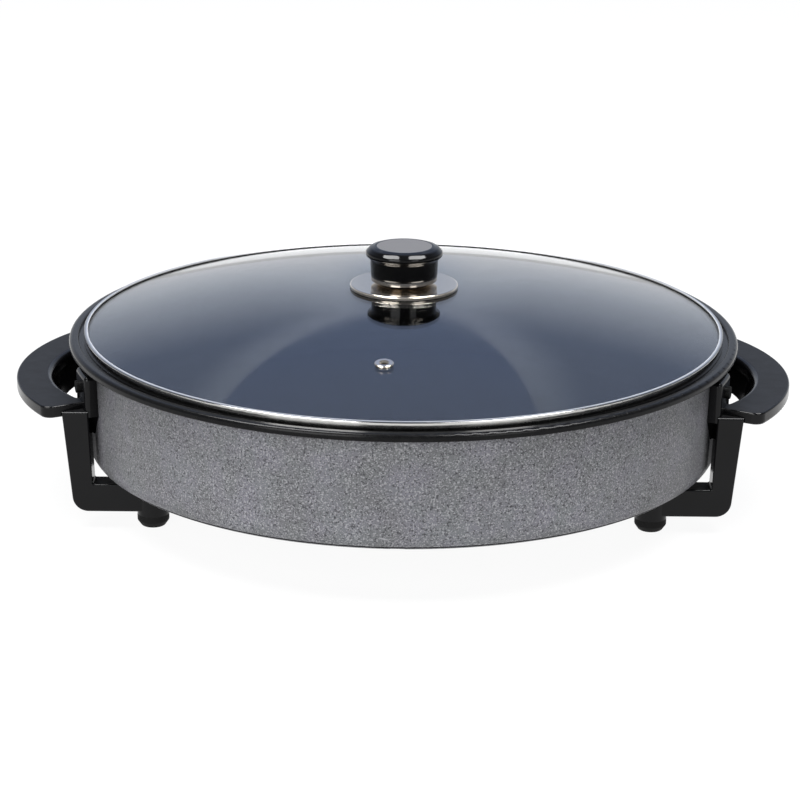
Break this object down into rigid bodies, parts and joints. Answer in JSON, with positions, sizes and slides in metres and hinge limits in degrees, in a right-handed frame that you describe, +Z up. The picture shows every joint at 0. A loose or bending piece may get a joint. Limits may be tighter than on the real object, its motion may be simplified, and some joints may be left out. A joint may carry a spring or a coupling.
{
  "type": "electric party pan",
  "caption": "Round electric pan with a speckled wall and black rim, crescent side handles on legs with rubber feet, and a lift-off domed glass lid with a knob and a steam vent.",
  "frame": {"origin": "on the table, under the centre of the pan", "axes": "+X along the handles towards the viewer's right, -Y towards the viewer, +Z up; the inlet for the heat control is at the back"},
  "size_m": [0.507, 0.436, 0.1659],
  "materials": {
    "pan_coating": "speckled stone-look coating, black at the rim",
    "handle_plastic": "satin black",
    "foot_rubber": "matt",
    "lid_glass": "clear",
    "bright_steel": "polished",
    "seal": "matt silicone",
    "knob_plastic": "gloss black",
    "inlay": "satin grey",
    "screw_black": "blackened",
    "screw_steel": "zinc plated",
    "insert_brass": "turned",
    "element_steel": "dull sheath",
    "cover_steel": "plain sheet",
    "shroud_steel": "matt black",
    "ceramic": "unglazed ceramic"
  },
  "bodies": {
    "pan": {"pan_shell": "pan_coating", "handle_left": "handle_plastic", "handle_right": "handle_plastic", "handle_screws": "screw_black", "foot_screws": "screw_steel", "foot_front_left": "foot_rubber", "foot_front_right": "foot_rubber", "foot_back_left": "foot_rubber", "foot_back_right": "foot_rubber", "heating_element": "element_steel", "base_cover": "cover_steel", "base_cover_screws": "screw_steel", "inlet_shroud": "shroud_steel", "inlet_screws": "screw_steel", "terminal_pins": "screw_steel", "terminal_insulators": "ceramic", "probe_sleeve": "element_steel"},
    "lid": {"lid_glass": "lid_glass", "lid_rim_band": "bright_steel", "rim_liner": "seal", "vent_eyelet": "bright_steel", "knob_gasket": "seal", "knob_plate": "bright_steel", "knob_ferrule": "bright_steel", "knob": "knob_plastic", "knob_inlay": "inlay", "knob_insert": "insert_brass", "under_gasket": "seal", "under_washer": "bright_steel", "knob_screw": "screw_steel"}
  },
  "joints": [
    {"name": "lid_lift", "type": "slide", "parent": "pan", "child": "lid", "axis": [0, 0, 1], "range_m": [0, 0.15]}
  ]
}
